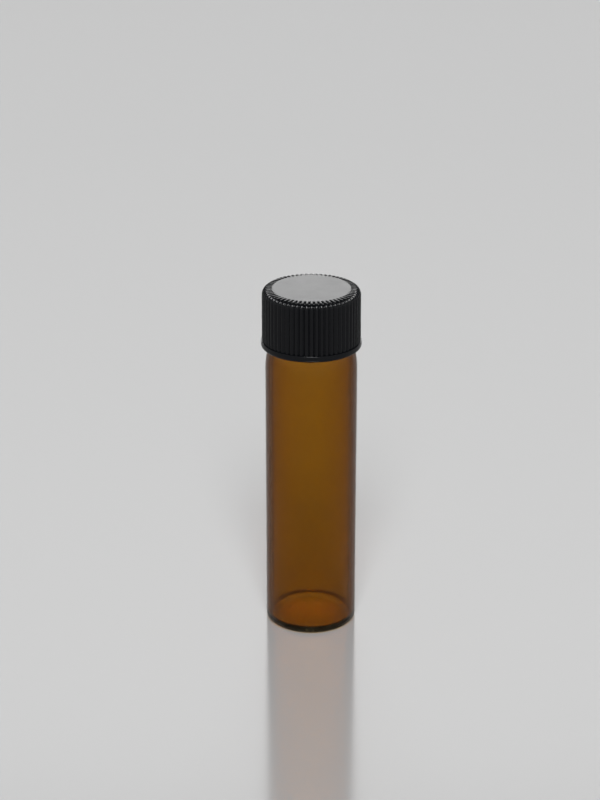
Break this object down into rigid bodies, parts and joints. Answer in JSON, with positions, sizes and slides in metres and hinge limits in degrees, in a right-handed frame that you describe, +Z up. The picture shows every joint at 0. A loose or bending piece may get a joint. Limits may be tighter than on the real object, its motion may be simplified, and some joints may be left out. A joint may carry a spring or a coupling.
{
  "type": "glass sample vial",
  "caption": "Amber glass sample vial with a straight body, a threaded neck and a black ribbed screw cap holding a soft sealing liner.",
  "frame": {"origin": "centre of the foot, on the surface that the vial stands on", "axes": "+Z up along the axis of the vial and its cap; X and Y across it, with the thread's lower end on the glass at +X"},
  "size_m": [0.0272, 0.0272, 0.098],
  "materials": {
    "amber_glass": "clear amber, fire-polished",
    "black_cap": "moulded black plastic, satin gloss",
    "liner": "soft white faced foam"
  },
  "bodies": {
    "vial": {"glass_vial": "amber_glass"},
    "liner": {"cap_liner": "liner"},
    "cap": {"screw_cap": "black_cap"}
  },
  "joints": [
    {"name": "cap_lift", "type": "slide", "parent": "vial", "child": "liner", "axis": [0, 0, 1], "range_m": [0, 0.0159]},
    {"name": "cap_turn", "type": "hinge", "parent": "liner", "child": "cap", "pos_m": [0, 0, 0.09], "axis": [0, 0, 1], "range_deg": [0, 1800]}
  ],
  "couplings": [
    {"joint": "cap_lift", "follows": "cap_turn", "m_per_rad": 0.00050532}
  ]
}
